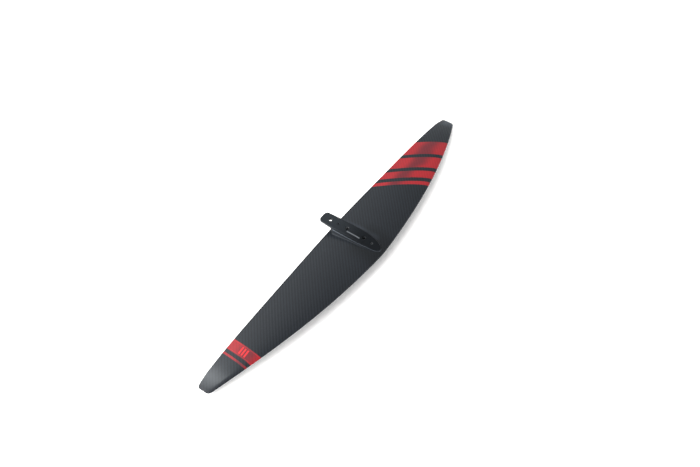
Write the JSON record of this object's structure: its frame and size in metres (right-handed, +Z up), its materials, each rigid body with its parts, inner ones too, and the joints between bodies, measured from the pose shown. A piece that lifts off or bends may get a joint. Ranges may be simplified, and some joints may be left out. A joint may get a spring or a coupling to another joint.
{
  "type": "hydrofoil front wing",
  "caption": "Slim high-aspect carbon hydrofoil front wing with drooped tips and a boat-shaped bolt-on mounting boss that overhangs the trailing edge.",
  "frame": {"origin": "on the centreline of the boss's flat upper face, 24 mm forward of the root trailing edge, where the fuselage sits", "axes": "+X to port along the span, -Y forward towards the leading edge, +Z up out of the boss's flat face"},
  "size_m": [0.788, 0.1392, 0.0465],
  "materials": {
    "carbon_twill": "satin clear coat over twill carbon cloth with translucent red graphics",
    "moulded_carbon": "smooth moulded satin, dark slate",
    "unidirectional_carbon": "cured unidirectional tape",
    "glass_laminate": "machined glass and epoxy laminate",
    "foam_core": "rigid closed-cell foam",
    "stainless_steel": "turned stainless steel"
  },
  "bodies": {
    "root": {"upper_skin": "carbon_twill", "lower_skin": "carbon_twill", "mounting_boss": "moulded_carbon", "spar_cap_upper": "unidirectional_carbon", "spar_cap_lower": "unidirectional_carbon", "root_block": "glass_laminate", "port_nose_core": "foam_core", "port_tail_core": "foam_core", "port_shear_web": "unidirectional_carbon", "port_leading_edge_tow": "unidirectional_carbon", "port_trailing_edge_filler": "glass_laminate", "port_tip_block": "glass_laminate", "starboard_nose_core": "foam_core", "starboard_tail_core": "foam_core", "starboard_shear_web": "unidirectional_carbon", "starboard_leading_edge_tow": "unidirectional_carbon", "starboard_trailing_edge_filler": "glass_laminate", "starboard_tip_block": "glass_laminate", "middle_bolt_sleeve": "stainless_steel", "front_bolt_sleeve": "stainless_steel", "locating_bush": "stainless_steel", "threaded_insert": "stainless_steel"}
  },
  "joints": []
}
